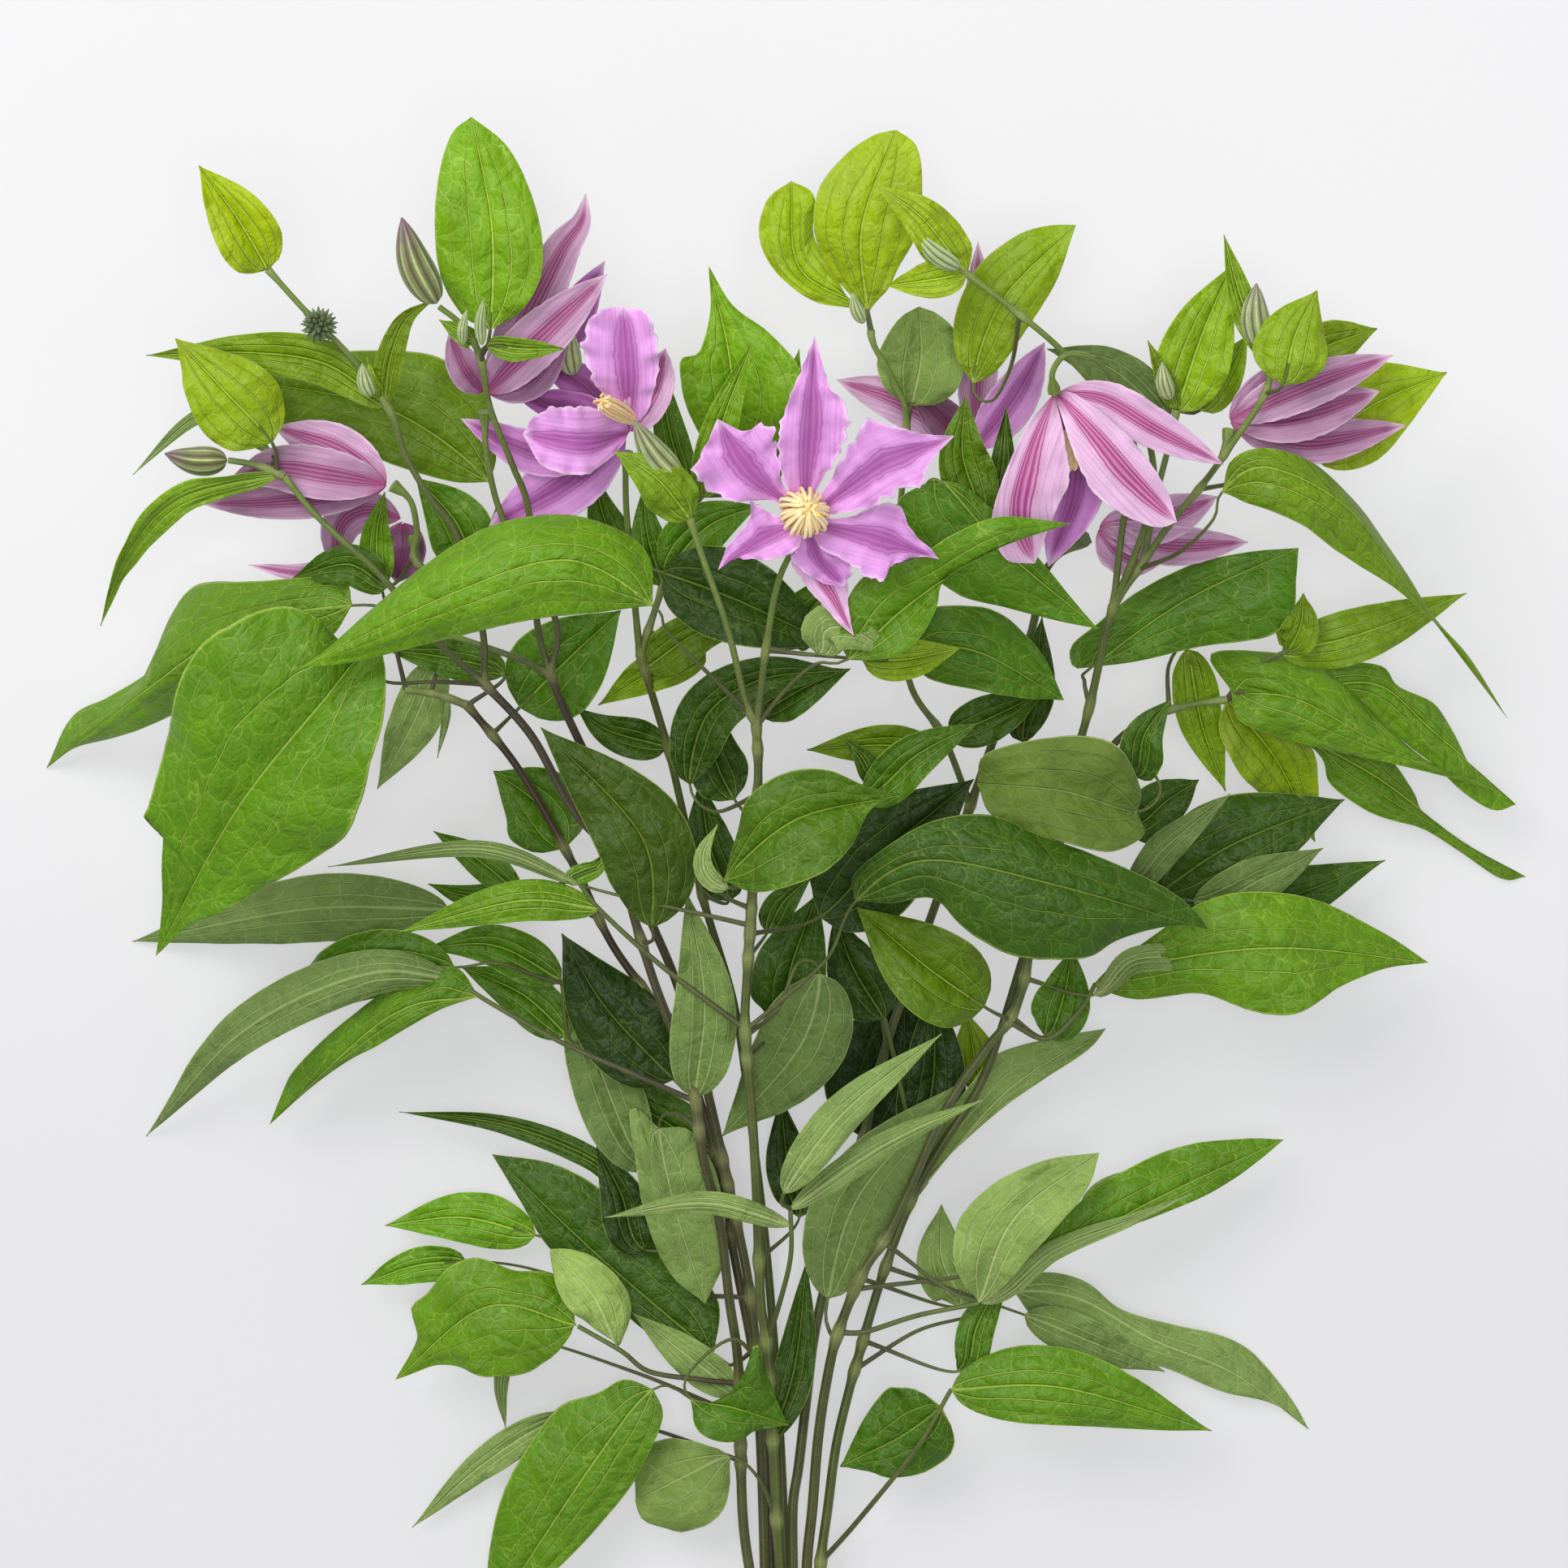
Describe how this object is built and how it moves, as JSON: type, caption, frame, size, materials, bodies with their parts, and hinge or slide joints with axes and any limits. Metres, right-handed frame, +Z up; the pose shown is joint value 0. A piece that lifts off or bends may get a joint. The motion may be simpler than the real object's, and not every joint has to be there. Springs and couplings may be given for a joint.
{
  "type": "bunch of cut clematis stems",
  "caption": "Tied bunch of leafy cut clematis stems with lilac star and bell flowers and buds, lying flat on a surface, cut ends at one end and flower heads at the other.",
  "frame": {"origin": "middle of the underside of the whole bunch's box, on the surface that it lies on", "axes": "+Y from the cut ends to the flower heads, +X to the right as seen from above with the heads at the top, +Z up from the surface"},
  "size_m": [0.4404, 0.6118, 0.1353],
  "materials": {
    "stem": "fine ridged green to purple-brown stem",
    "leaf": "satin green leaf with a net of sunk veins",
    "tepal": "soft lilac tepal with deeper ribs",
    "stamen": "matt cream and orange",
    "tie": "plain natural twine"
  },
  "bodies": {
    "root": {"flower_back": "tepal", "flower_back_right": "tepal", "flower_front": "tepal", "flower_left": "tepal", "flower_left_low": "tepal", "flower_nodding": "tepal", "flower_open": "tepal", "flower_right": "tepal", "flower_top_left": "tepal", "leaf_bottom_front": "leaf", "leaf_bottom_large": "leaf", "leaf_bottom_pale": "leaf", "leaf_bottom_right": "leaf", "leaf_far_left": "leaf", "leaf_front_curled": "leaf", "leaf_front_dark": "leaf", "leaf_front_left": "leaf", "leaf_head_lobed": "leaf", "leaf_head_wide": "leaf", "leaf_left_bright": "leaf", "leaf_left_droop": "leaf", "leaf_left_grey": "leaf", "leaf_left_large": "leaf", "leaf_left_low": "leaf", "leaf_left_olive": "leaf", "leaf_left_shade": "leaf", "leaf_left_tall": "leaf", "leaf_low_dark": "leaf", "leaf_low_lobed": "leaf", "leaf_low_right": "leaf", "leaf_low_twisted": "leaf", "leaf_middle_back": "leaf", "leaf_middle_bright": "leaf", "leaf_middle_dark": "leaf", "leaf_middle_oval": "leaf", "leaf_middle_pale": "leaf", "leaf_middle_shade": "leaf", "leaf_middle_spray": "leaf", "leaf_middle_under": "leaf", "leaf_right_bright": "leaf", "leaf_right_broad": "leaf", "leaf_right_cluster": "leaf", "leaf_right_droop": "leaf", "leaf_right_green": "leaf", "leaf_right_hook": "leaf", "leaf_right_long": "leaf", "leaf_right_low": "leaf", "leaf_right_yellow": "leaf", "leaf_top_pair": "leaf", "leaf_top_right": "leaf", "stamens_front": "stamen", "stem_1": "stem", "stem_2": "stem", "stem_3": "stem", "stem_4": "stem", "stem_5": "stem", "stem_6": "stem", "stem_7": "stem", "stem_8": "stem", "tie": "tie"}
  },
  "joints": []
}
